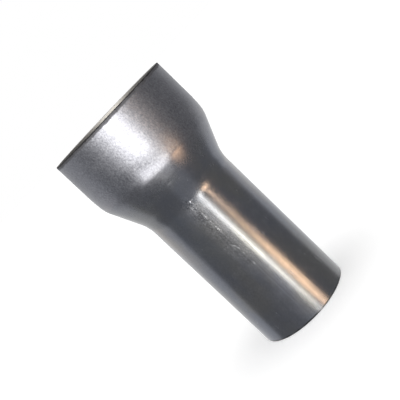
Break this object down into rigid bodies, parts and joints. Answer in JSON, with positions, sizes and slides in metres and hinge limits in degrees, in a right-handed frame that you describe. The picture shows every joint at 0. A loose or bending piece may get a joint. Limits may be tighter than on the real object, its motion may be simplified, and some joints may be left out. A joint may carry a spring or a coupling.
{
  "type": "exhaust pipe reducer",
  "caption": "Round steel exhaust reducer, a thin tube expanded at one end into a socket, with a short cone down to a long straight spigot.",
  "frame": {"origin": "centre of the narrow rim, on the surface the reducer stands on", "axes": "+Z along the tube's axis, from the narrow end up to the wide mouth"},
  "size_m": [0.0788, 0.0788, 0.1524],
  "materials": {
    "steel": "satin, drawn along the tube, grainier where it was expanded"
  },
  "bodies": {
    "root": {"reducer_body": "steel"}
  },
  "joints": []
}
